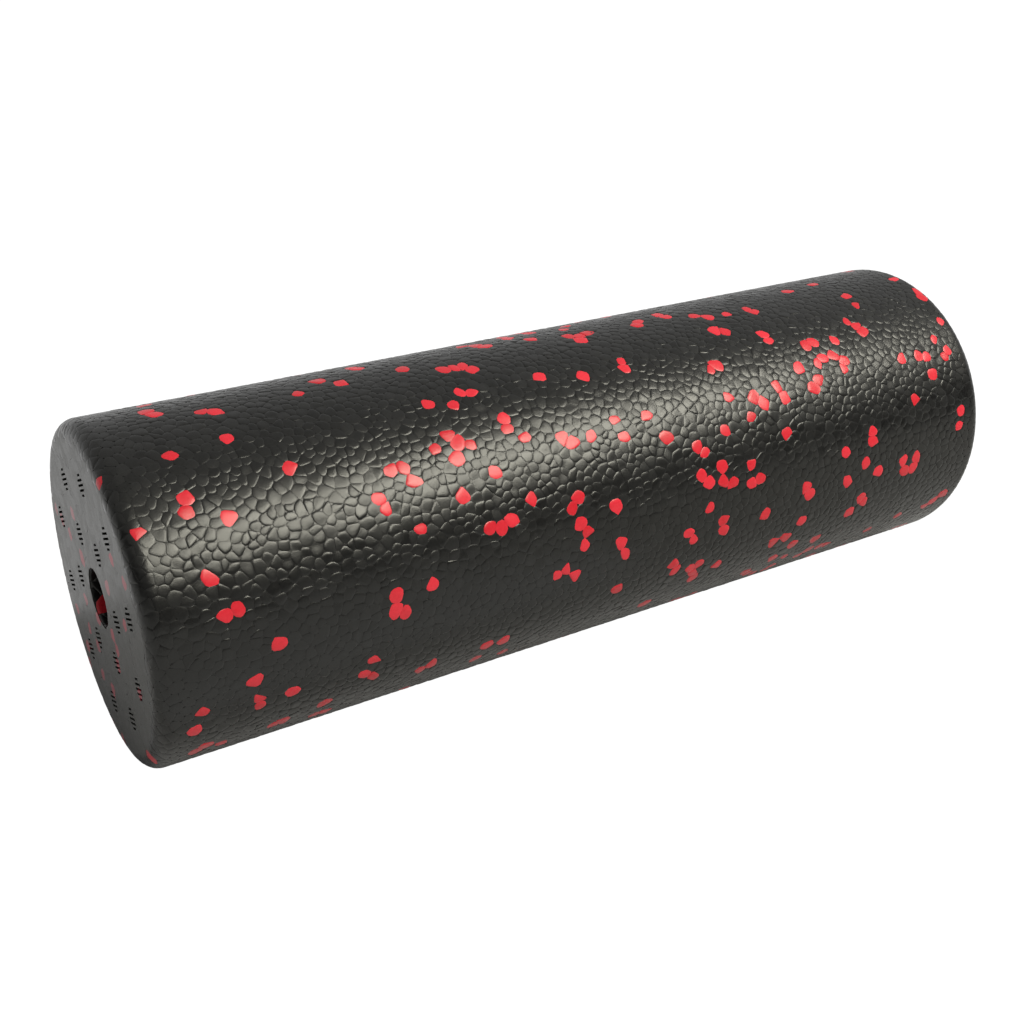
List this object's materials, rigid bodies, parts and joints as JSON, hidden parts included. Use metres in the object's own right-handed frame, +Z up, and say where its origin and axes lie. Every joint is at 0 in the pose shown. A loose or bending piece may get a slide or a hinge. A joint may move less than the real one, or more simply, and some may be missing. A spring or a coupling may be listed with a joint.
{
  "type": "foam roller",
  "caption": "Cylindrical moulded bead-foam massage roller with rounded rims, a central through bore and slotted steam-vent marks on both end faces.",
  "frame": {"origin": "centre of the roller, on the axis of its bore, midway between the end faces", "axes": "+X along the roller's axis, +Z up with the roller lying on its side"},
  "size_m": [0.45, 0.15, 0.15],
  "materials": {
    "black_foam": "satin moulded bead skin",
    "red_foam": "satin moulded bead skin"
  },
  "bodies": {
    "root": {"foam_body": "black_foam", "red_beads_side": "red_foam", "red_beads_left_edge": "red_foam", "red_beads_right_edge": "red_foam", "red_beads_left_end": "red_foam", "red_beads_right_end": "red_foam", "red_beads_bore": "red_foam"}
  },
  "joints": []
}
